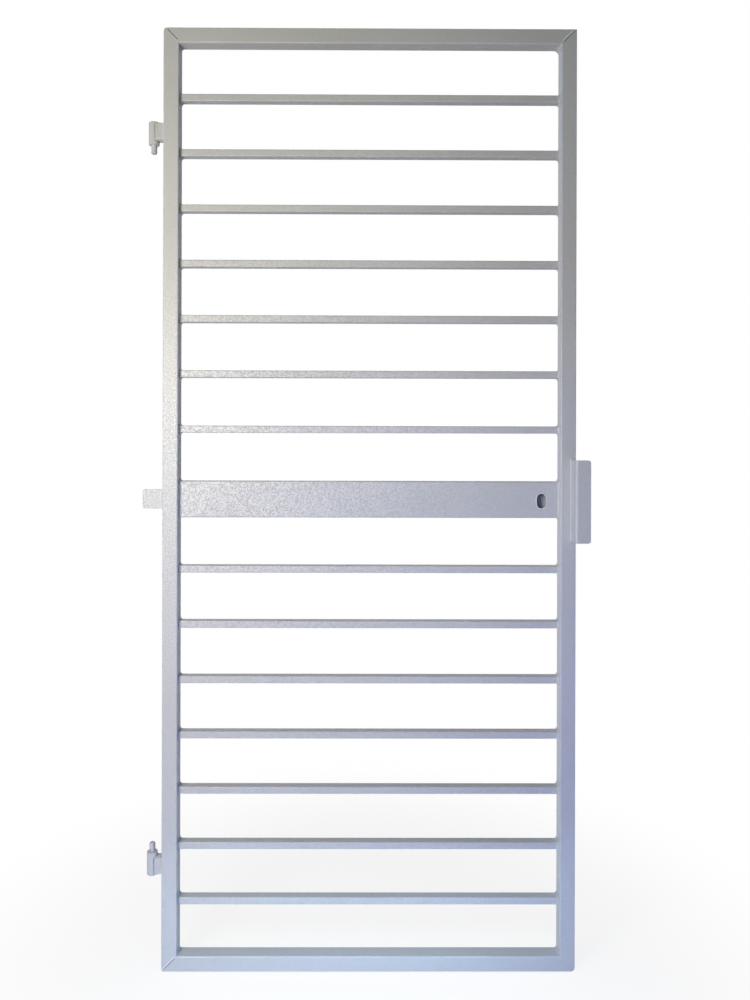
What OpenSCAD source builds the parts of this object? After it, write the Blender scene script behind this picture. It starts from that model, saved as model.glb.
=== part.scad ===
// Swing gate leaf of welded steel tube. A mitred frame of square tube holds level bars and a
// slotted lock rail. Two opposed pins hang it: the upper one points down and the lower one up,
// so that the closed leaf can't be lifted off. A lug and an angle guard protect its two edges.

/* [Leaf] */
// Width of the frame, over the two stiles
leaf_w = 855; // [500:5:1200]
// Height of the frame, over the top and bottom rails
leaf_h = 1950; // [1200:10:2400]

/* [Frame tube] */
// Side of the square frame tube
tube = 32; // [25:1:50]
// Wall of the frame tube
tube_wall = 2; // [1.5:0.1:3]
// Radius that the leaf's upper corner on the hinge side is ground to
hinge_top_grind = 10; // [1:0.5:12]
// Radius that the leaf's upper corner on the lock side is ground to
lock_top_grind = 3; // [1:0.5:12]
// Radius that the leaf's lower corner on the hinge side is ground to
foot_hinge_grind = 8; // [1:0.5:12]
// Radius that the leaf's lower corner on the lock side is ground to
foot_lock_grind = 12; // [1:0.5:16]

/* [Bars] */
// Bars above the lock rail, and as many below it
bars_each_side = 7; // [2:1:9]
// Height of the bar tube, as seen from the front
bar_h = 15; // [10:1:25]
// Depth of the bar tube, from front to back
bar_d = 20; // [10:1:25]
// Wall of the bar tube
bar_wall = 1.5; // [1:0.1:2]
// How far the bars lie in front of the frame's back face
bar_back_step = 0; // [0:0.5:5]

/* [Lock rail] */
// Height of the lock rail
rail_h = 76; // [50:1:120]
// Depth of the lock rail, from its face to the frame's back face
rail_d = 20; // [12:1:25]
// Wall of the lock rail
rail_wall = 2; // [1.5:0.1:3]
// Width of the slot in the lock rail's face
slot_w = 19; // [8:0.5:24]
// Height of the slot, end to end
slot_h = 30; // [26:0.5:40]
// How far the slot's centre lies below mid-height
slot_drop = 2.5; // [0:0.5:10]
// From the lock stile's inner face to the slot's centre
slot_inset = 37; // [20:1:80]

/* [Hinges] */
// From the top of the leaf to the upper hinge barrel
hinge_top_inset = 192; // [60:1:400]
// From the foot of the leaf to the lower hinge barrel
hinge_foot_inset = 195; // [60:1:400]
// From the hinge stile's outer face to the hinge axis
axis_gap = 22.5; // [15:0.5:40]
// Diameter of the hinge barrels
barrel_d = 22; // [18:0.5:28]
// Length of each hinge barrel
barrel_h = 47; // [35:1:80]
// Chamfer on the barrel's two ends
barrel_chamfer = 1; // [0.5:0.1:2]
// Diameter of the bare part of each pin
pin_d = 12; // [10:0.5:14]
// Length of the bare part of each pin
pin_h = 18.5; // [12:0.5:60]
// Chamfer on the tip of each pin
pin_chamfer = 2; // [0.5:0.1:3]
// Diameter of the spigot that holds the pin in its barrel
spigot_d = 9.5; // [6:0.5:9.5]
// Length of the spigot
spigot_h = 20; // [10:1:28]
// Thickness of the plate between barrel and stile
hinge_plate_t = 12; // [4:0.5:14]
// Height of the plate between barrel and stile
hinge_plate_h = 34.5; // [20:0.5:44]
// How far the plate stops short of the barrel's closed end
hinge_plate_short = 4.5; // [0:0.5:10]

/* [Security lug] */
// How far the lug stands out of the hinge stile
lug_out = 44; // [20:1:60]
// Height of the lug
lug_h = 40; // [20:1:80]
// Thickness of the lug
lug_t = 5; // [3:0.5:8]
// Radius of the lug's free corners
lug_corner = 3; // [1:0.5:8]

/* [Lock guard] */
// Height of the guard
guard_h = 168; // [100:1:300]
// How far the guard stands out in front of the lock stile
guard_d = 40; // [20:1:50]
// Width of the guard's front leg
guard_w = 30; // [20:1:50]
// Thickness of the guard's folded plate
guard_t = 3; // [2:0.5:5]
// Radius inside the guard's fold
guard_fold = 1; // [0.5:0.5:5]
// Radius of the two free corners of the guard's front leg
guard_corner = 6; // [1:0.5:10]
// How far the guard's foot stands in from the lock stile's outer face
guard_inset = 10.5; // [4:0.5:20]

/* [Hidden] */
$fn = 64;
// Cold formed tube is rounded by half as much again as its wall
corner_per_wall = 1.5;
// Clear space past the end of the spigot in its bore
bore_relief = 1;
// Cuts run on past a surface by this much
past = 1;

clear_w = leaf_w - 2 * tube;
upper_seat_z = leaf_h / 2 - hinge_top_inset - barrel_h;
lower_seat_z = hinge_foot_inset + barrel_h - leaf_h / 2;
bar_gap = (leaf_h / 2 - tube - rail_h / 2 - bars_each_side * bar_h) / (bars_each_side + 1);
bar_y = tube / 2 - bar_back_step - bar_d / 2;
rail_y = tube / 2 - rail_d / 2;
pin_r = pin_d / 2;
barrel_r = barrel_d / 2;
spigot_r = spigot_d / 2;

// The pieces are drawn with x from the hinge stile's outer face, y from mid-depth with the front
// at -y, and z from mid-height. This moves the origin to the seat of the upper hinge, on its axis.
module placed() {
    translate([axis_gap, 0, -upper_seat_z]) children();
}

module rounded_rect(w, h, r) {
    square([w - 2 * r, h], center = true);
    square([w, h - 2 * r], center = true);
    for (side = [-1, 1], end = [-1, 1])
        translate([side * (w / 2 - r), end * (h / 2 - r)]) circle(r = r);
}

// A tube's outline, or with an inset of one wall the outline of its bore
module tube_outline(w, h, wall, inset) {
    rounded_rect(w - 2 * inset, h - 2 * inset, corner_per_wall * wall - inset);
}

module tube_section(w, h, wall) {
    difference() {
        tube_outline(w, h, wall, 0);
        tube_outline(w, h, wall, wall);
    }
}

// An outline that starts square at x = 0 and ends at x = w with two rounded corners
module tab_outline(w, h, r) {
    translate([0, -h / 2]) square([w - r, h]);
    translate([0, r - h / 2]) square([w, h - 2 * r]);
    for (end = [-1, 1])
        translate([w - r, end * (h / 2 - r)]) circle(r = r);
}

// An outline drawn in x and y stands up in x and z, with thickness t about y = 0
module upright(t) {
    rotate([90, 0, 0]) linear_extrude(t, center = true) children();
}

// What goes from a square corner at the origin when it is rounded to radius r
module corner_waste(r) {
    if (r > 0) difference() {
        square(r);
        translate([r, r]) circle(r = r);
    }
}

// The leaf's outline with its ground corners, taken in by inset on every side
module leaf_outline(inset) {
    w = leaf_w - 2 * inset;
    h = leaf_h - 2 * inset;
    translate([leaf_w / 2, 0]) difference() {
        square([w, h], center = true);
        translate([-w / 2, -h / 2]) corner_waste(foot_hinge_grind - inset);
        translate([w / 2, -h / 2]) rotate(90) corner_waste(foot_lock_grind - inset);
        translate([w / 2, h / 2]) rotate(180) corner_waste(lock_top_grind - inset);
        translate([-w / 2, h / 2]) rotate(270) corner_waste(hinge_top_grind - inset);
    }
}

// One edge of the leaf: turn 0 is the hinge edge, and positive turns go from there over the top.
// Reach is from the leaf's centre to the edge, and x and z are drawn from that centre.
module at_edge(turn) {
    translate([leaf_w / 2, 0, 0]) rotate([0, turn, 0]) children();
}

// A solid run along an edge, or with an inset of one wall its bore, within the ground corners
module edge_run(turn, reach, length, inset) {
    intersection() {
        at_edge(turn) translate([tube / 2 - reach, 0, 0])
            linear_extrude(length, center = true) tube_outline(tube, tube, tube_wall, inset);
        upright(2 * tube) leaf_outline(inset);
    }
}

// A member of the frame, mitred at both ends. Weld metal backs the ground corners, so the wall
// keeps its thickness round them.
module frame_member(turn, reach, length) {
    end_z = length / 2;
    intersection() {
        difference() {
            edge_run(turn, reach, length, 0);
            edge_run(turn, reach, length, tube_wall);
        }
        at_edge(turn) translate([-reach, 0, 0]) upright(2 * tube) polygon([
            [0, -end_z], [0, end_z], [tube, end_z - tube], [tube, tube - end_z]
        ]);
    }
}

module stile(turn) {
    frame_member(turn, leaf_w / 2, leaf_h);
}

module level_member(turn) {
    frame_member(turn, leaf_h / 2, leaf_w);
}

module hinge_stile() {
    color("#c6c8cd") placed() stile(0);
}

module lock_stile() {
    color("#969dac") placed() stile(180);
}

module top_rail() {
    color("#989a9a") placed() level_member(90);
}

module bottom_rail() {
    color("#b4bdd0") placed() level_member(270);
}

// A tube between the stiles, centred at height z
module crossbar(h, d, wall, y, z) {
    translate([tube, y, z]) rotate([0, 90, 0])
        linear_extrude(clear_w) tube_section(h, d, wall);
}

// The bars are numbered outwards from the lock rail, with an equal gap at every bar
module level_bar(i) {
    crossbar(bar_h, bar_d, bar_wall, bar_y, rail_h / 2 + i * (bar_gap + bar_h) - bar_h / 2);
}

module upper_bar(i) {
    color("#b9babc") placed() level_bar(i);
}

module lower_bar(i) {
    color("#b4b9c6") placed() mirror([0, 0, 1]) level_bar(i);
}

module stadium(w, h) {
    square([w, h - w], center = true);
    for (end = [-1, 1])
        translate([0, end * (h - w) / 2]) circle(d = w);
}

// The slot opens only the rail's front wall
module lock_rail() {
    face_y = rail_y - rail_d / 2;
    color("#c3c3c6") placed() difference() {
        crossbar(rail_h, rail_d, rail_wall, rail_y, 0);
        translate([leaf_w - tube - slot_inset, face_y, -slot_drop])
            upright(2 * (rail_wall + past)) stadium(slot_w, slot_h);
    }
}

// One hinge is drawn about its own axis, with z = 0 at the seat and the pin pointing down.
// The lower hinge is the same one turned over.
module at_upper_hinge() {
    placed() translate([-axis_gap, 0, upper_seat_z]) children();
}

module at_lower_hinge() {
    placed() translate([-axis_gap, 0, lower_seat_z]) mirror([0, 0, 1]) children();
}

// The plate's near edge is cut to fit round the barrel
module hinge_plate() {
    difference() {
        translate([0, -hinge_plate_t / 2, barrel_h - hinge_plate_short - hinge_plate_h])
            cube([axis_gap, hinge_plate_t, hinge_plate_h]);
        translate([0, 0, -past]) cylinder(r = barrel_r, h = barrel_h + 2 * past);
    }
}

// The bore's mouth is chamfered out to the pin, so the seat is the flat ring around the pin
module hinge_barrel() {
    bore_h = spigot_h + bore_relief;
    rotate_extrude() polygon([
        [pin_r, 0],
        [barrel_r - barrel_chamfer, 0],
        [barrel_r, barrel_chamfer],
        [barrel_r, barrel_h - barrel_chamfer],
        [barrel_r - barrel_chamfer, barrel_h],
        [0, barrel_h],
        [0, bore_h],
        [spigot_r, bore_h],
        [spigot_r, pin_r - spigot_r]
    ]);
}

module hinge_pin() {
    rotate_extrude() polygon([
        [0, -pin_h],
        [pin_r - pin_chamfer, -pin_h],
        [pin_r, pin_chamfer - pin_h],
        [pin_r, 0],
        [spigot_r, 0],
        [spigot_r, spigot_h],
        [0, spigot_h]
    ]);
}

module upper_hinge_plate() {
    color("#b9bcc4") at_upper_hinge() hinge_plate();
}

module upper_hinge_barrel() {
    color("#b9bcc4") at_upper_hinge() hinge_barrel();
}

module upper_hinge_pin() {
    color("#a9adb6") at_upper_hinge() hinge_pin();
}

module lower_hinge_plate() {
    color("#b9bcc4") at_lower_hinge() hinge_plate();
}

module lower_hinge_barrel() {
    color("#b9bcc4") at_lower_hinge() hinge_barrel();
}

module lower_hinge_pin() {
    color("#a9adb6") at_lower_hinge() hinge_pin();
}

module security_lug() {
    color("#c2c5cc") placed() mirror([1, 0, 0])
        upright(lug_t) tab_outline(lug_out, lug_h, lug_corner);
}

// A folded plate's section, with its fold at the origin and its legs along x and y
module fold_section(w, d, t, inner_r) {
    outer_r = inner_r + t;
    translate([outer_r, 0]) square([w - outer_r, t]);
    translate([0, outer_r]) square([t, d - outer_r]);
    translate([outer_r, outer_r]) difference() {
        intersection() {
            circle(r = outer_r);
            translate([-outer_r, -outer_r]) square(outer_r);
        }
        circle(r = inner_r);
    }
}

// The guard's foot is welded on the lock stile's face, and its front leg reaches out past the
// leaf's edge, to cover the gap where the lock works
module lock_guard() {
    color("#979dba") placed()
        translate([leaf_w - guard_inset, -tube / 2 - guard_d, 0]) intersection() {
            linear_extrude(guard_h, center = true) fold_section(guard_w, guard_d, guard_t, guard_fold);
            upright(2 * guard_d + past) tab_outline(guard_w, guard_h, guard_corner);
        }
}

hinge_stile();
lock_stile();
top_rail();
bottom_rail();
lock_rail();
for (i = [1:bars_each_side]) {
    upper_bar(i);
    lower_bar(i);
}
upper_hinge_plate();
upper_hinge_barrel();
upper_hinge_pin();
lower_hinge_plate();
lower_hinge_barrel();
lower_hinge_pin();
security_lug();
lock_guard();
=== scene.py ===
"""Swing gate leaf in silver grey powder coat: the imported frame, its welds and finish, and a studio."""

import math

import bmesh
import bpy
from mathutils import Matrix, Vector, noise


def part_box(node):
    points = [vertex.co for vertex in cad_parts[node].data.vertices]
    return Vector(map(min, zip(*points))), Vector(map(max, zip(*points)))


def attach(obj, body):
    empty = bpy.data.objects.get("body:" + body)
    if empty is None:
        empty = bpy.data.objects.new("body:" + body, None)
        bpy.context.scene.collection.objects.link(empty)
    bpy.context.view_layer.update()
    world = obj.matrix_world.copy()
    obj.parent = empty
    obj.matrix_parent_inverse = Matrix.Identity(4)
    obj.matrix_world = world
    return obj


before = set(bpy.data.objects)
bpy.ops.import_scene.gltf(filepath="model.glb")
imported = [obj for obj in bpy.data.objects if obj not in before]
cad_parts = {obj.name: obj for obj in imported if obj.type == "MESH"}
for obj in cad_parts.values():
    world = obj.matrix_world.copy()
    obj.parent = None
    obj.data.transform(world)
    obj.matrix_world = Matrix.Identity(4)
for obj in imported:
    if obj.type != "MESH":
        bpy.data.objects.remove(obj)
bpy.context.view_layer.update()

MM = 0.001
BODY = "root"
SEED = 7
QUARTER = math.radians(90)

scene = bpy.context.scene
noise.seed_set(SEED)

# --- places, all from the frame ---------------------------------------------------------------

stile_lo, stile_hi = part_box("hinge_stile")
LEFT, FRONT, BACK = stile_lo.x, stile_lo.y, stile_hi.y
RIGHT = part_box("lock_stile")[1].x
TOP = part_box("top_rail")[1].z
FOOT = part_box("bottom_rail")[0].z
TUBE = BACK - FRONT
LEAF_H = TOP - FOOT
CENTRE = Vector(((LEFT + RIGHT) / 2, (FRONT + BACK) / 2, (FOOT + TOP) / 2))
X, Y, Z = Vector((1, 0, 0)), Vector((0, 1, 0)), Vector((0, 0, 1))
BARS = [n for n in sorted(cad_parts) if "_bar_" in n]

# --- sizes of the CAD model that the frame's boxes don't tell -----------------------------------

TUBE_ROUND = 3 * MM
BAR_ROUND = 2.25 * MM
PLATE_ROUND = 1 * MM
GUARD_T = 3 * MM
# the hole in the lock rail: its size, and how far it lies from the lock stile and below the rail's middle
HOLE_W, HOLE_H = 19 * MM, 30 * MM
HOLE_INSET, HOLE_DROP = 37 * MM, 2.5 * MM
# each corner of the leaf: its x and z, the way to the leaf's middle, and how far its tip is ground back
CORNERS = {
    "top_hinge": (LEFT, TOP, 1, -1, 10 * MM),
    "top_lock": (RIGHT, TOP, -1, -1, 3 * MM),
    "foot_hinge": (LEFT, FOOT, 1, 1, 8 * MM),
    "foot_lock": (RIGHT, FOOT, -1, 1, 12 * MM),
}


# --- shader nodes -----------------------------------------------------------------------------

def connect(tree, n, inputs):
    """Links a node's sockets to other nodes' outputs, or sets them to plain values."""
    for key, value in inputs.items():
        if isinstance(value, bpy.types.NodeSocket):
            tree.links.new(value, n.inputs[key])
        else:
            n.inputs[key].default_value = value


def node(tree, kind, x, y, inputs, **settings):
    """A shader node of one kind at x, y, with its sockets linked or set and its other settings by name."""
    n = tree.nodes.new("ShaderNode" + kind)
    n.location = (x, y)
    for key, value in settings.items():
        setattr(n, key, value)
    connect(tree, n, inputs)
    return n


def math_node(tree, operation, x, y, first, second):
    return node(tree, "Math", x, y, {0: first, 1: second}, operation=operation).outputs["Value"]


def distance_node(tree, coord, x, y, place):
    return node(tree, "VectorMath", x, y, {0: coord, 1: place}, operation="DISTANCE").outputs["Value"]


def noise_node(tree, coord, x, y, size, detail, rough=0.5):
    """Noise with features about size metres across."""
    inputs = {"Vector": coord, "Scale": 1 / size, "Detail": detail, "Roughness": rough}
    return node(tree, "TexNoise", x, y, inputs).outputs["Fac"]


def map_range(tree, value, x, y, span, result, kind="LINEAR"):
    """Maps the values from span[0] to span[1] onto those from result[0] to result[1]."""
    inputs = {"Value": value, "From Min": span[0], "From Max": span[1],
              "To Min": result[0], "To Max": result[1]}
    return node(tree, "MapRange", x, y, inputs, interpolation_type=kind).outputs["Result"]


def seen_by(tree, x, y, *kinds):
    """1 for these kinds of ray and 0 for every other."""
    rays = node(tree, "LightPath", x, y, {})
    seen = rays.outputs[kinds[0]]
    for k, kind in enumerate(kinds[1:], start=1):
        seen = math_node(tree, "MAXIMUM", x + 200 * k, y, seen, rays.outputs[kind])
    return seen


# --- finish -----------------------------------------------------------------------------------

# sizes are in metres, and so is the peel's depth: the other depths are shares of the coat's tone or,
# for the glint, of the clear coat's weight
USUAL_NOISE = (0.3, 0.7)
SPECULAR = 0.08
COAT_ROUGHNESS = 0.28
CLOUD_SIZE, CLOUD_DEPTH = 300 * MM, 0.03
SPECK_SIZE, SPECK_DEPTH = 2.7 * MM, 0.03
GLINT, GLINT_DEPTH = 0.3, 0.25
DULL_SIZE, DULL_RANGE = 90 * MM, (0.40, 0.48)
PEEL_SIZE, PEEL_DEPTH = 2.4 * MM, 0.4 * MM
# round one place the specks are deeper, as painted sparkle where the window lamp's highlight falls:
# by how much, the radii where that begins and ends to fade, and the place
PAINTED_SPARKLE_DEPTH = 0.15
PAINTED_SPARKLE_RADII = (0.15, 0.60)
PAINTED_SPARKLE_MIDDLE = (LEFT + 0.14, FRONT, CENTRE.z + 0.08)


def coat_material(name, rgb, edge, grain):
    """Powder coat over steel: faint clouds and specks in the colour, orange peel and duller patches.
    Round one place the specks are deeper, as painted sparkle of a highlight. Edge is how far its sharp
    edges look rounded, and grain is how strong its specks and peel are."""
    m = bpy.data.materials.new(name)
    m.use_nodes = True
    t = m.node_tree
    coord = node(t, "TexCoord", -1500, 0, {}).outputs["Object"]

    cloud = noise_node(t, coord, -1200, 400, CLOUD_SIZE, 2.0)
    cloud_tone = map_range(t, cloud, -950, 400, USUAL_NOISE, (1 - CLOUD_DEPTH, 1 + CLOUD_DEPTH))

    speck = noise_node(t, coord, -1200, 100, SPECK_SIZE, 0.0)
    # the specks deepen round one place, painting the sparkle of the window lamp's highlight into the colour
    away = distance_node(t, coord, -1400, 700, PAINTED_SPARKLE_MIDDLE)
    depths = (PAINTED_SPARKLE_DEPTH * grain, SPECK_DEPTH * grain)
    depth = map_range(t, away, -1200, 700, PAINTED_SPARKLE_RADII, depths, "SMOOTHSTEP")
    darkest = math_node(t, "SUBTRACT", -1050, 600, 1.0, depth)
    lightest = math_node(t, "ADD", -1050, 500, 1.0, depth)
    speck_tone = map_range(t, speck, -950, 100, USUAL_NOISE, (darkest, lightest))
    tone = math_node(t, "MULTIPLY", -700, 250, cloud_tone, speck_tone)
    colour = node(t, "VectorMath", -480, 250, {0: rgb, "Scale": tone}, operation="SCALE")

    swing = GLINT_DEPTH * grain
    glint = map_range(t, speck, -950, -50, USUAL_NOISE, (GLINT - swing, GLINT + swing))
    dull = noise_node(t, coord, -1200, -200, DULL_SIZE, 3.0, 0.6)
    roughness = map_range(t, dull, -950, -200, USUAL_NOISE, DULL_RANGE)

    peel = noise_node(t, coord, -1200, -500, PEEL_SIZE, 1.0)
    bump = node(t, "Bump", -480, -500, {"Strength": 1.0, "Distance": PEEL_DEPTH * grain, "Height": peel})
    if edge:
        bevel = node(t, "Bevel", -700, -700, {"Radius": edge}, samples=4)
        connect(t, bump, {"Normal": bevel.outputs["Normal"]})

    connect(t, t.nodes["Principled BSDF"], {
        "Base Color": colour.outputs["Vector"],
        "Metallic": 0.0,
        "Roughness": roughness,
        "Specular IOR Level": SPECULAR,
        "Normal": bump.outputs["Normal"],
        "Coat Weight": glint,
        "Coat Roughness": COAT_ROUGHNESS,
        "Coat Normal": bump.outputs["Normal"],
    })
    return m


COAT = coat_material("powder_coat", (0.44, 0.445, 0.455), 0.7 * MM, 1.0)
WELD_COAT = coat_material("powder_coat_on_weld", (0.43, 0.435, 0.445), 0.0, 1.1)
# a dark coat that paints shade into the crevices of the mitre beads and along the crease where each hinge
# weld leaves its barrel
PAINTED_SHADE_COAT = coat_material("powder_coat_painted_shade", (0.16, 0.163, 0.17), 0.0, 1.2)
# a lighter coat that paints highlights: on the crests of the mitre beads, on one line of each hinge weld
# and round the lock rail's hole
PAINTED_HIGHLIGHT_COAT = coat_material("powder_coat_painted_highlight", (0.56, 0.565, 0.58), 0.0, 0.8)
# what each face of a weld may take: the plain weld coat, painted shade, or a painted highlight
TONES = (WELD_COAT, PAINTED_SHADE_COAT, PAINTED_HIGHLIGHT_COAT)
ON_WELD, IN_PAINTED_SHADE, ON_PAINTED_HIGHLIGHT = range(3)
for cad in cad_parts.values():
    cad.data.materials.clear()
    cad.data.materials.append(COAT)


# --- mesh helpers -----------------------------------------------------------------------------

SUNK = 0.3 * MM
SLIVER = 1e-5
SHARP = math.radians(50)
NOISE_SPAN = 100


def piece(name, rings, closed_path=False, coat=WELD_COAT, tone=None):
    """A closed solid skinned over equal rings of points, which rides on the leaf and takes its finish.
    Where it is given, tone(k, i) is the place in TONES of the face after point i of ring k."""
    n = len(rings[0])
    count = len(rings)
    faces = []
    for k in range(count if closed_path else count - 1):
        a, b = k * n, (k + 1) % count * n
        for i in range(n):
            j = (i + 1) % n
            faces.append((a + i, a + j, b + j, b + i))
    if not closed_path:
        faces.append(tuple(reversed(range(n))))
        faces.append(tuple(range((count - 1) * n, count * n)))
    mesh = bpy.data.meshes.new(name)
    mesh.from_pydata([tuple(p) for ring in rings for p in ring], [], faces)
    bm = bmesh.new()
    bm.from_mesh(mesh)
    for face in bm.faces:
        face.smooth = True
    bmesh.ops.recalc_face_normals(bm, faces=bm.faces)
    bm.to_mesh(mesh)
    bm.free()
    mesh.set_sharp_from_angle(angle=SHARP)
    for material in TONES if tone else (coat,):
        mesh.materials.append(material)
    if tone:
        for face in mesh.polygons:
            k, i = divmod(face.index, n)
            if k < count - 1:
                face.material_index = tone(k, i)
    obj = bpy.data.objects.new(name, mesh)
    scene.collection.objects.link(obj)
    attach(obj, BODY)


def quarter(steps):
    """The cosine and the sine of each step through a quarter turn."""
    for i in range(steps + 1):
        a = QUARTER * i / steps
        yield math.cos(a), math.sin(a)


def rounded_rect(w, h, r, step):
    """Points round a rounded rectangle about the origin, at most about step apart."""
    r = min(r, w / 2 - SLIVER, h / 2 - SLIVER)
    pts = []
    arc = max(3, math.ceil(r * math.pi / 2 / step))
    for k, (sx, sy) in enumerate(((1, 1), (-1, 1), (-1, -1), (1, -1))):
        cx, cy = sx * (w / 2 - r), sy * (h / 2 - r)
        for i in range(arc + 1):
            a = QUARTER * (k + i / arc)
            pts.append((cx + r * math.cos(a), cy + r * math.sin(a)))
        run = (w if k % 2 == 0 else h) - 2 * r
        steps = max(1, round(run / step))
        ex, ey = pts[-1]
        dx, dy = ((-1, 0), (0, -1), (1, 0), (0, 1))[k]
        for i in range(1, steps):
            pts.append((ex + dx * run * i / steps, ey + dy * run * i / steps))
    return pts


def recess(depth, r):
    """How far a tube's rounded edge has fallen back from one face at a depth below the next."""
    return r - math.sqrt(max(0.0, r * r - (r - depth) ** 2)) if depth < r else 0.0


def concave(leg, s):
    """Height of a hollow weld fillet at the distance s from its root face."""
    return leg - math.sqrt(max(0.0, leg * leg - (leg - s) ** 2))


def drawn_phase():
    """A place in the noise for one weld, so that no two are alike."""
    return noise.random_vector() * NOISE_SPAN


# --- welds round the ends of bars and plates --------------------------------------------------

COLLAR_STEP = 1.1 * MM
COLLAR_RINGS = 7
COLLAR_LUMP = 3.5 * MM
BAR_LEG = 5 * MM
FLUSH = BACK - 0.2 * MM
LUG_LEG = 4.5 * MM
GUARD_LEG, GUARD_ENDS, GUARD_ROUGH = 2 * MM, 2.2, 0.35


def lean(p, half, r):
    """Which side of a rounded outline p lies on along one axis: near -1 or 1, and 0 between its corners."""
    return max(-1.0, min(1.0, p / half)) if abs(p) > half - r else 0.0


def collar(name, centre, u, v, out, w, h, r, leg, limit=None, ends=1.0, rough=0.22):
    """A hollow weld fillet round an end that is w by h along u and v: out leads away from its root face.
    It goes no further back than limit, and is ends times as large on the sides that face along v.
    Its first ring is sunk into the root face, and its last one into the end that it goes round."""
    rings = []
    phase = drawn_phase()
    outline = rounded_rect(w, h, r, COLLAR_STEP)
    for k in range(-1, COLLAR_RINGS + 2):
        s = leg * min(max(k, 0), COLLAR_RINGS) / COLLAR_RINGS
        ring = []
        for pu, pv in outline:
            ru, rv = lean(pu, w / 2, r), lean(pv, h / 2, r)
            m = math.hypot(ru, rv) or 1.0
            uneven = 1 + rough * noise.noise(Vector((pu, pv, 0)) / COLLAR_LUMP + phase)
            grow = -SUNK
            if k <= COLLAR_RINGS:
                grow = concave(leg, s) * uneven * (1 + (ends - 1) * abs(rv) / m)
            p = centre + u * (pu + grow * ru / m) + v * (pv + grow * rv / m)
            sunk = SUNK
            if limit is not None:
                p.y = min(p.y, limit)
                sunk += recess(BACK - p.y, TUBE_ROUND)
            p += out * (s if k >= 0 else -sunk)
            ring.append(p)
        rings.append(ring)
    piece(name, rings)


def bar_end_welds(name, r):
    lo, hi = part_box(name)
    w, h = hi.y - lo.y, hi.z - lo.z
    mid = (lo + hi) / 2
    collar(name + "_weld_hinge_side", Vector((lo.x, mid.y, mid.z)), Y, Z, X, w, h, r, BAR_LEG, FLUSH)
    collar(name + "_weld_lock_side", Vector((hi.x, mid.y, mid.z)), Y, Z, -X, w, h, r, BAR_LEG, FLUSH)


def lug_weld():
    lo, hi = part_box("security_lug")
    mid = (lo + hi) / 2
    root = Vector((hi.x, mid.y, mid.z))
    collar("security_lug_weld", root, Y, Z, -X, hi.y - lo.y, hi.z - lo.z, PLATE_ROUND, LUG_LEG)


def guard_weld():
    lo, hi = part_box("lock_guard")
    root = Vector((lo.x + GUARD_T / 2, FRONT, (lo.z + hi.z) / 2))
    collar("lock_guard_weld", root, X, Z, -Y, GUARD_T, hi.z - lo.z, PLATE_ROUND, GUARD_LEG,
           ends=GUARD_ENDS, rough=GUARD_ROUGH)


# --- welds in the leaf's corners --------------------------------------------------------------

FILLET_LEGS = {"top_hinge": 5 * MM, "top_lock": 11 * MM, "foot_hinge": 4.5 * MM, "foot_lock": 6 * MM}


def corner_fillet(corner, leg):
    """Weld metal in an inner corner of the frame, hollow, which grows from the front to the back edge."""
    x, z, sx, sz, _ = CORNERS[corner]
    inner_x, inner_z = x + sx * TUBE, z + sz * TUBE
    phase = drawn_phase()
    inset, full_after = 0.5 * MM, 14 * MM
    least, lumps, lump_size = 0.1, 0.05, 4 * MM
    runs, arc = 36, 9
    rings = []
    for k in range(runs + 1):
        y = FRONT + inset + (TUBE - 2 * inset) * k / runs
        front, back = y - FRONT, BACK - y
        face = -recess(min(front, back), TUBE_ROUND)
        grown = math.sin(min(1.0, (front - inset) / full_after) * math.pi / 2)
        lump = 1 + lumps * noise.noise(Vector((y / lump_size, 0, 0)) + phase)
        big = leg * (least + (1 - least) * grown) * lump
        mid = face + big
        ring = [(face - SUNK, face - SUNK), (mid, face - SUNK)]
        ring += [(mid - big * sine, mid - big * cosine) for cosine, sine in quarter(arc)]
        ring.append((face - SUNK, mid))
        rings.append([Vector((inner_x + sx * px, y, inner_z + sz * pz)) for px, pz in ring])
    piece(corner + "_corner_fillet", rings)


def ridge(q):
    """A plain round bead's height, from 0 to 1, at q, which runs from -1 to 1 across it."""
    return math.cos(q * math.pi / 2) ** 1.3


def lapped(q):
    """A bead that drops at one side into a crevice, with a thin lip beyond it."""
    crest, valley, lip = 0.15, -0.35, 0.15
    if q > crest:
        return math.cos((q - crest) / (1 - crest) * math.pi / 2) ** 2
    if q > valley:
        return math.cos((crest - q) / (crest - valley) * math.pi / 2) ** 2
    return lip * math.sin((valley - q) / (valley + 1) * math.pi) ** 2


def lapped_over(q):
    return lapped(-q)


# stretches across the lapped beads that are painted with shade and with a highlight
LAP_DARK, LAP_LIGHT = (-0.52, -0.12), (0.0, 0.6)
LAP_OVER_DARK, LAP_OVER_LIGHT = (0.12, 0.52), (-0.6, 0.0)
# each mitre's bead: its profile, width, height and, where they apply, how far it lies to one side of
# the mitre, the stretch across it whose crevice is painted in shade and the stretch painted with a
# highlight
FRONT_BEADS = {
    "top_hinge": (lapped, 8.0 * MM, 0.6 * MM, -1.8 * MM, LAP_DARK),
    "top_lock": (lapped, 9.0 * MM, 1.3 * MM, 1.7 * MM, LAP_DARK, LAP_LIGHT),
    "foot_hinge": (lapped_over, 8.0 * MM, 0.9 * MM, -1.4 * MM, LAP_OVER_DARK, LAP_OVER_LIGHT),
    "foot_lock": (ridge, 8.0 * MM, 0.25 * MM),
}
BACK_BEAD = (ridge, 6.0 * MM, 0.3 * MM)


def within(q, stretch):
    return stretch is not None and stretch[0] < q < stretch[1]


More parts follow.
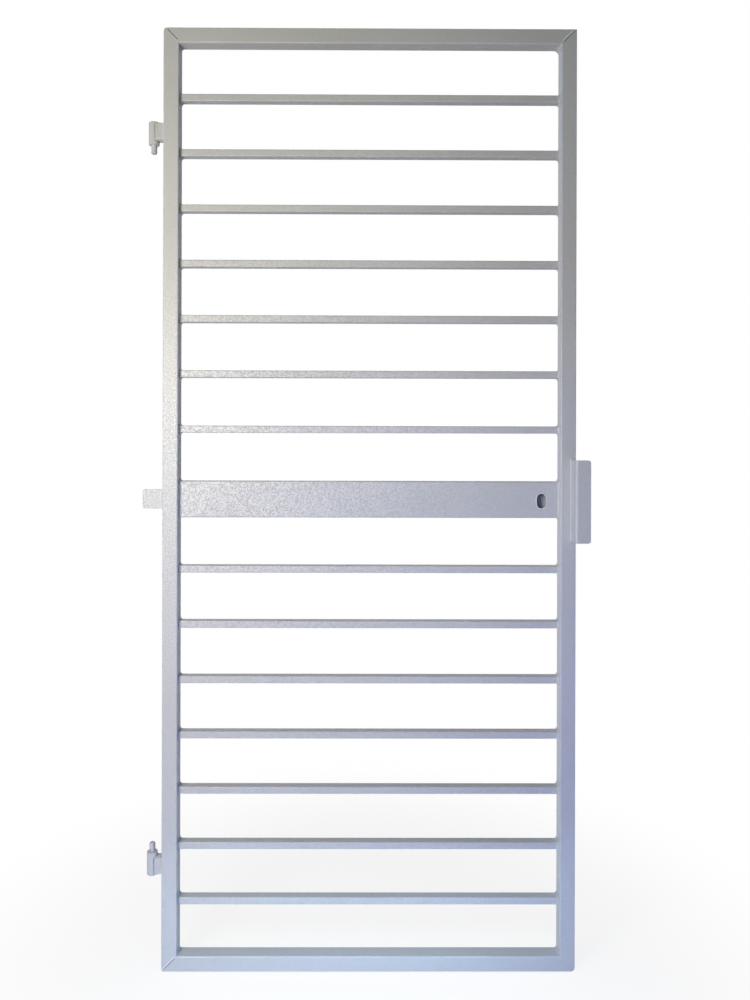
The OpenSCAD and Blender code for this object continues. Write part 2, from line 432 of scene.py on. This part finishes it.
def seam(name, start, end, face_out, tip, profile, width, height, shift=0.0, dark=None, light=None):
    """A weld bead from start to end, which wanders a little. It starts 2 * tip wide and widens at 45
    degrees on each side. Dark is the stretch across it that takes painted shade, and light the stretch
    that takes a painted highlight."""
    along = end - start
    length = along.length
    along.normalize()
    across = along.cross(face_out).normalized()
    phase = drawn_phase()
    step, n_across, plain_rings = 0.7 * MM, 20, 3
    fade, end_narrow = 4 * MM, 0.4
    wander, wander_size = 0.4 * MM, 9 * MM
    ripple, ripple_size, ripple_across = 0.2, 2.2 * MM, 1.5
    edge_sunk, crevice_height = 0.02 * MM, 0.03 * MM
    n_along = max(8, round(length / step))
    rings = []
    for k in range(n_along + 1):
        s = length * k / n_along
        ease = math.sin(max(0.0, min(1.0, s / fade, (length - s) / fade)) * math.pi / 2)
        narrow = min(1.0, (tip + s) / (width / 2), end_narrow + (length - s) / fade)
        drift = shift + wander * noise.noise(Vector((s / wander_size, 0, 0)) + phase)
        top = []
        for i in range(n_across + 1):
            q = 2 * i / n_across - 1
            rip = 1 + ripple * noise.noise(Vector((s / ripple_size, q * ripple_across, 0)) + phase)
            tall = height * profile(q) * rip * ease - edge_sunk
            if within(q, dark):
                tall = max(tall, crevice_height)
            top.append(start + along * s + across * (q * width / 2 + drift) * narrow + face_out * tall)
        low = [p - face_out * ((p - start).dot(face_out) + SUNK) for p in reversed(top)]
        rings.append(top + low)

    # faces in the dark stretch take painted shade, and those in the light stretch a painted highlight
    def tone(k, i):
        q = (2 * i + 1) / n_across - 1
        if i >= n_across or not plain_rings <= k < n_along - plain_rings:
            return ON_WELD
        if within(q, dark):
            return IN_PAINTED_SHADE
        return ON_PAINTED_HIGHLIGHT if within(q, light) else ON_WELD

    piece(name, rings, tone=tone if dark else None)


def mitre_bead(corner, face, *bead):
    """The bead on one face of a mitre, from the leaf's ground outer corner to its inner corner."""
    x, z, sx, sz, grind = CORNERS[corner]
    y, out = (FRONT, -Y) if face == "front" else (BACK, Y)
    corner_place = Vector((x, y, z))
    diagonal = Vector((sx, 0, sz)).normalized()
    ground = grind * (math.sqrt(2) - 1)
    clear, trim = 1.2 * TUBE_ROUND, 0.1 * TUBE_ROUND
    start = corner_place + diagonal * (ground + clear)
    end = corner_place + diagonal * (TUBE * math.sqrt(2) - clear)
    seam(corner + "_mitre_bead_" + face, start, end, out, ground - trim, *bead)


# --- welds at the hinges ----------------------------------------------------------------------

HINGE_RISE = 2.5 * MM
FIRST_ROUND, LAST_ROUND = 1.6 * MM, 3.0 * MM


def groove_outline(skin, deep, z0, z1):
    """One side of a hinge weld, as y and z: from the plate's skin at z0 out to deep, and along to z1."""
    arc, along = 6, 30
    first, last = z0 + FIRST_ROUND, z1 - LAST_ROUND
    pts = [(skin + (deep - skin) * sine, z0 + FIRST_ROUND * (1 - cosine)) for cosine, sine in quarter(arc)]
    pts += [(deep, first + (last - first) * i / along) for i in range(1, along)]
    pts += [(deep - LAST_ROUND * (1 - cosine), last + LAST_ROUND * sine) for cosine, sine in quarter(arc)]
    return pts


def hinge_weld(end, start, flat):
    """Weld metal that fills the grooves between barrel, plate and stile, and wraps the plate's closed
    end. Start is the x where it leaves the barrel, and flat how far it stands from the plate's middle.
    Its z is worked out from the hinge's seat towards the closed end."""
    plate_lo, plate_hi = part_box(end + "_hinge_plate")
    barrel_lo, barrel_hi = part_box(end + "_hinge_barrel")
    length = barrel_hi.z - barrel_lo.z
    seat, closed = (barrel_lo.z, 1) if end == "upper" else (barrel_hi.z, -1)
    plate_start = plate_lo.z - seat if end == "upper" else seat - plate_hi.z
    plate_end = plate_start + plate_hi.z - plate_lo.z
    skin = plate_hi.y - 0.4 * MM
    lumpy_from = skin + 0.1 * MM
    core = skin - 2 * MM
    inside = plate_end - 4 * MM
    stile_flat = TUBE / 2 - TUBE_ROUND
    dip, hollow, into_stile = 1.0 * MM, 0.3 * MM, 0.8 * MM
    past_plate, flare, short = 0.6 * MM, 1.4 * MM, 0.3 * MM
    wander, wander_size, wander_row = 0.5 * MM, 3 * MM, 9
    lumps, lump_size, side_row = 0.035, 4 * MM, 5
    phase = drawn_phase()
    runs, toe_highlight_ring = 40, 37
    rings = []
    for k in range(runs + 2):
        t = min(k, runs) / runs
        x = start + (LEFT - start) * t
        deep = flat - hollow * math.sin(math.pi * t) + (stile_flat - flat) * t ** 5
        deep -= dip * max(0.0, 1 - (x - start) / HINGE_RISE) ** 1.5
        if k > runs:
            x += into_stile
        drift = wander * noise.noise(Vector((x / wander_size, 0, wander_row)) + phase)
        z0 = plate_start + past_plate + flare * (1 - t) ** 2 + drift
        z1 = length - short + (plate_end + past_plate - length) * t
        outline = groove_outline(skin, deep, z0, z1)
        ring = []
        for side in (-1, 1):
            face = []
            for y, z in outline:
                lump = noise.noise(Vector((x / lump_size, z / lump_size, side * side_row)) + phase)
                scale = 1 + lumps * lump if y > lumpy_from else 1
                face.append(Vector((x, side * y * scale, seat + closed * z)))
            ring += face if side < 0 else face[::-1]
        first = z0 + FIRST_ROUND
        for y, z in ((core, first), (core, inside), (-core, inside), (-core, first)):
            ring.append(Vector((x, y, seat + closed * z)))
        rings.append(ring)
    reach = (LEFT - start) / runs

    # painted shade along the crease where the weld leaves the barrel, and a painted highlight on one ring
    # near the stile
    def tone(k, i):
        if k * reach < HINGE_RISE:
            return IN_PAINTED_SHADE
        return ON_PAINTED_HIGHLIGHT if k == toe_highlight_ring else ON_WELD

    piece(end + "_hinge_weld", rings, tone=tone)


# --- the lip round the lock rail's hole -------------------------------------------------------

def hole_lip():
    """The raised lip round the hole, in a lighter coat that paints a highlight along its rim."""
    rail_lo, rail_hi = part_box("lock_rail")
    centre = Vector((RIGHT - TUBE - HOLE_INSET, rail_lo.y, (rail_lo.z + rail_hi.z) / 2 - HOLE_DROP))
    wide, tall, step = 0.9 * MM, 0.45 * MM, 0.8 * MM
    sides = 10
    path = rounded_rect(HOLE_W + 2 * wide, HOLE_H + 2 * wide, HOLE_W / 2 + wide, step)
    n = len(path)
    rings = []
    for i, (px, pz) in enumerate(path):
        qx, qz = path[(i + 1) % n][0] - path[i - 1][0], path[(i + 1) % n][1] - path[i - 1][1]
        m = math.hypot(qx, qz) or 1
        side = X * (qz / m) - Z * (qx / m)
        ring = []
        for j in range(sides):
            a = math.tau * j / sides
            ring.append(centre + X * px + Z * pz + side * (wide * math.cos(a)) - Y * (tall * math.sin(a)))
        rings.append(ring)
    # the lip takes the lighter coat, a painted highlight round the hole
    piece("lock_slot_lip", rings, closed_path=True, coat=PAINTED_HIGHLIGHT_COAT)


for bar_name in BARS:
    bar_end_welds(bar_name, BAR_ROUND)
bar_end_welds("lock_rail", TUBE_ROUND)
for corner_name, fillet_leg in FILLET_LEGS.items():
    corner_fillet(corner_name, fillet_leg)
for corner_name, front_bead in FRONT_BEADS.items():
    mitre_bead(corner_name, "front", *front_bead)
for corner_name in CORNERS:
    mitre_bead(corner_name, "back", *BACK_BEAD)
hinge_weld("upper", 2.2 * MM, 10.9 * MM)
hinge_weld("lower", 3.8 * MM, 10.3 * MM)
lug_weld()
guard_weld()
hole_lip()

# --- camera -----------------------------------------------------------------------------------

EYE_AWAY = 1.62
EYE_UP = 0.130
ROLL, TURN = math.radians(-0.15), math.radians(-0.22)
SHIFT_RIGHT = 0.0025
SENSOR = 36.0
LEAF_IN_FRAME = 0.9444


def add_camera():
    """A camera that looks level at the leaf, whose front fills LEAF_IN_FRAME of the frame's height."""
    data = bpy.data.cameras.new("camera")
    camera = bpy.data.objects.new("camera", data)
    scene.collection.objects.link(camera)
    scene.camera = camera
    front_away = EYE_AWAY + FRONT
    focal_share = LEAF_IN_FRAME * front_away / LEAF_H
    camera.location = (CENTRE.x, CENTRE.y - EYE_AWAY, CENTRE.z + EYE_UP)
    camera.rotation_euler = (QUARTER, ROLL, TURN)
    data.sensor_width = SENSOR
    data.lens = SENSOR * focal_share
    data.shift_x = SHIFT_RIGHT
    data.shift_y = -EYE_UP * focal_share / front_away


# --- world and lamps --------------------------------------------------------------------------

WHITE = (1.0, 1.0, 1.0, 1.0)
AMBIENT = (0.02, 0.02, 0.02, 1.0)


def add_world():
    """White where it is seen, straight or in gloss, and a faint ambient light on everything else."""
    world = bpy.data.worlds.new("studio")
    scene.world = world
    world.use_nodes = True
    t = world.node_tree
    t.nodes.clear()
    seen = seen_by(t, -400, 0, "Is Camera Ray", "Is Glossy Ray", "Is Transmission Ray")
    white = node(t, "Background", 200, 150, {"Color": WHITE, "Strength": 1.0})
    ambient = node(t, "Background", 200, -50, {"Color": AMBIENT, "Strength": 1.0})
    pick = node(t, "MixShader", 400, 0, {"Fac": seen, 1: ambient.outputs[0], 2: white.outputs[0]})
    node(t, "OutputWorld", 600, 0, {"Surface": pick.outputs[0]})


# each lamp: its place and its aim, both from the leaf's centre, width, height, watts, colour and,
# where it isn't the full half turn, the angle in degrees that its light fans out to
LAMPS = {
    "window": ((-0.75, -1.15, 0.34), (-0.05, 0.0, 0.26), 0.40, 0.50, 8.6, (1.0, 0.88, 0.64)),
    "window_wide": ((-0.85, -1.3, 0.12), (0.0, 0.0, 0.1), 0.75, 0.8, 18.2, (0.985, 0.965, 0.965)),
    "high_left": ((-0.6, -1.0, 1.0), (-0.3, 0.0, 0.8), 0.5, 0.5, 0.45, (0.60, 1.0, 0.1)),
    "high_right": ((0.9, -0.9, 0.9), (0.4, 0.0, 0.8), 0.3, 0.4, 0.45, (0.10, 0.40, 1.0)),
    "middle": ((0.0, -0.7, 0.1), (0.0, 0.0, -0.95), 0.9, 0.3, 2.4, (0.36, 0.50, 1.0)),
    "low_right": ((0.8, -0.8, -0.75), (0.45, 0.0, -0.8), 0.3, 0.6, 2.1, (0.0, 0.12, 1.0)),
    "foot": ((-0.2, -0.5, -0.9), (-0.15, 0.0, -1.0), 1.0, 0.12, 1.0, (0.42, 0.56, 1.0)),
    "above": ((0.0, 0.0, 1.25), (0.0, 0.0, 0.9), 0.85, 0.03, 0.7, (0.97, 0.98, 1.0)),
    "foot_top": ((0.0, -0.35, -0.55), (0.0, -0.22, -0.95), 0.9, 0.15, 1.35, (0.55, 0.80, 1.0), 100),
}
# each fill, for the back, the lock side and the faces that look to the hinge side: the way its light
# travels, its strength, how wide it stands in the sky in degrees, and its colour
FILLS = {
    "behind": ((0.0, -1.0, -0.05), 2.0, 10, (0.86, 0.93, 1.0)),
    "right_side": ((-1.0, 0.0, 0.0), 1.5, 1, (0.90, 0.95, 1.0)),
    "left_side": ((1.0, 0.06, 0.0), 0.65, 2, (0.10, 0.42, 1.0)),
}
FILL_AWAY = 3


def light(name, kind, place, way, energy, colour):
    """A light of one kind, at a place from the leaf's centre, that shines along way."""
    data = bpy.data.lights.new(name, kind)
    data.energy = energy
    data.color = colour
    obj = bpy.data.objects.new(name, data)
    scene.collection.objects.link(obj)
    obj.location = CENTRE + place
    obj.rotation_euler = way.to_track_quat("-Z", "Y").to_euler()
    return obj


def lamp(name, place, aim, width, height, watts, colour, spread=180):
    obj = light(name, "AREA", Vector(place), Vector(aim) - Vector(place), watts, colour)
    obj.data.shape = "RECTANGLE"
    obj.data.size = width
    obj.data.size_y = height
    obj.data.spread = math.radians(spread)
    obj.visible_camera = False


def fill(name, way, strength, angle, colour):
    """A far lamp from behind or from a side, out of the gloss, that hardly touches the leaf's front."""
    obj = light(name, "SUN", -FILL_AWAY * Vector(way), Vector(way), strength, colour)
    obj.data.angle = math.radians(angle)
    obj.visible_glossy = False


# --- floor ------------------------------------------------------------------------------------

FLOOR_HALF = 6.0
FLOOR_GAP = 0.5 * MM
FLOOR_GREY = (0.8, 0.8, 0.8, 1.0)
GLOW_RADII, GLOW_SHARES = (0.35, 1.1), (0.86, 1.0)


def floor_material(middle):
    """A grey that takes the shadow, under a white glow that is seen but lights nothing. The glow hides
    the grey further off, and lets some of it through round the middle."""
    m = bpy.data.materials.new("floor")
    m.use_nodes = True
    t = m.node_tree
    t.nodes.clear()
    seen = seen_by(t, -600, 200, "Is Camera Ray", "Is Glossy Ray")
    coord = node(t, "TexCoord", -1000, -300, {}).outputs["Object"]
    away = distance_node(t, coord, -800, -300, middle)
    share = map_range(t, away, -500, -300, GLOW_RADII, GLOW_SHARES, "SMOOTHSTEP")
    glowing = math_node(t, "MULTIPLY", 200, 200, seen, share)
    grey = node(t, "BsdfDiffuse", 0, -100, {"Color": FLOOR_GREY})
    glow = node(t, "Emission", 0, 100, {"Strength": 1.0})
    mix = node(t, "MixShader", 500, 0, {"Fac": glowing, 1: grey.outputs[0], 2: glow.outputs[0]})
    node(t, "OutputMaterial", 800, 0, {"Surface": mix.outputs[0]})
    return m


def floor():
    z = FOOT - FLOOR_GAP
    ways = ((-1, -1), (1, -1), (1, 1), (-1, 1))
    corners = [(CENTRE.x + sx * FLOOR_HALF, sy * FLOOR_HALF, z) for sx, sy in ways]
    mesh = bpy.data.meshes.new("floor")
    mesh.from_pydata(corners, [], [(0, 1, 2, 3)])
    mesh.materials.append(floor_material((CENTRE.x, 0, z)))
    obj = bpy.data.objects.new("floor", mesh)
    scene.collection.objects.link(obj)


add_camera()
add_world()
for lamp_name, values in LAMPS.items():
    lamp(lamp_name, *values)
for fill_name, values in FILLS.items():
    fill(fill_name, *values)
floor()
scene.view_settings.view_transform = "Standard"
